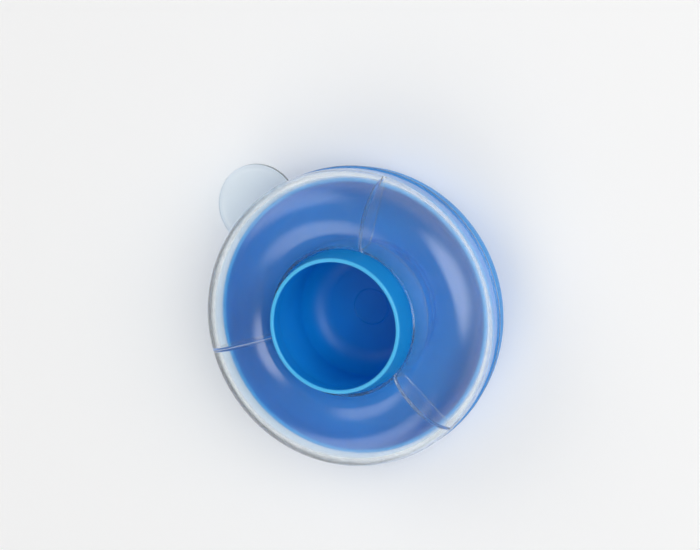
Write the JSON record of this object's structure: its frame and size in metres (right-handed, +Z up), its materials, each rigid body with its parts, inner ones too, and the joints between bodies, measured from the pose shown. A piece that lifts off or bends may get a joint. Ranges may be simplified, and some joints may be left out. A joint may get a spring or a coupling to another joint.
{
  "type": "spill-safe paint pot",
  "caption": "Low round paint pot: a bowl-shaped base holds a lift-out water cup, and a clear ring-shaped cover with a pull tab closes the spill trough around the cup.",
  "frame": {"origin": "on the table plane, on the axis of the cup", "axes": "+Z up along the cup's axis; the cover's pull tab points halfway between +X and -Y"},
  "size_m": [0.096, 0.096, 0.038],
  "materials": {
    "base_plastic": "semi-gloss moulded polypropylene",
    "cup_plastic": "semi-gloss moulded polypropylene",
    "clear_plastic": "clear, slightly hazy, polished mould",
    "seal_rubber": "soft, matt"
  },
  "bodies": {
    "base": {"base_bowl": "base_plastic", "cover_seal": "seal_rubber"},
    "cup": {"water_cup": "cup_plastic"},
    "cover": {"clear_cover": "clear_plastic"}
  },
  "joints": [
    {"name": "cover_lift", "type": "slide", "parent": "base", "child": "cover", "axis": [0, 0, 1], "range_m": [0, 0.045]},
    {"name": "cup_lift", "type": "slide", "parent": "base", "child": "cup", "axis": [0, 0, 1], "range_m": [0, 0.06]}
  ]
}
